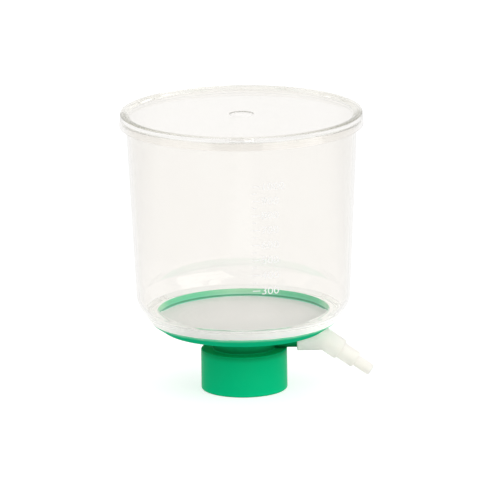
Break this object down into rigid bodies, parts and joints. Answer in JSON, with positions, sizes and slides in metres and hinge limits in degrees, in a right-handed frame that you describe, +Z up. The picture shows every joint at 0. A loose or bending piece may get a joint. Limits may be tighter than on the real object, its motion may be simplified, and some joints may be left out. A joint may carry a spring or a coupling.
{
  "type": "bottle-top vacuum filter",
  "caption": "Clear lidded filter funnel over a membrane, on a green base with a screw cap for a bottle neck and a swivelling stepped hose elbow.",
  "frame": {"origin": "on the axis, at the centre of the cap's lower rim, on which the unit stands", "axes": "+Z up along the axis of the funnel and the bottle neck; +X along the vacuum port, away from the neck"},
  "size_m": [0.1423, 0.138, 0.1605],
  "materials": {
    "green_polypropylene": "smooth moulded polypropylene with a soft gloss",
    "gasket_rubber": "matt white silicone",
    "filter_membrane": "matt porous membrane",
    "clear_polystyrene": "clear glossy polystyrene",
    "milky_polyethylene": "milky translucent polyethylene with a satin gloss"
  },
  "bodies": {
    "filter": {"base": "green_polypropylene", "neck_gasket": "gasket_rubber", "membrane": "filter_membrane", "funnel": "clear_polystyrene", "lid": "clear_polystyrene"},
    "adapter": {"hose_adapter": "milky_polyethylene"}
  },
  "joints": [
    {"name": "adapter_swivel", "type": "hinge", "parent": "filter", "child": "adapter", "pos_m": [0.035, 0, 0.0276], "axis": [1, 0, 0], "range_deg": [-140, 140]}
  ]
}
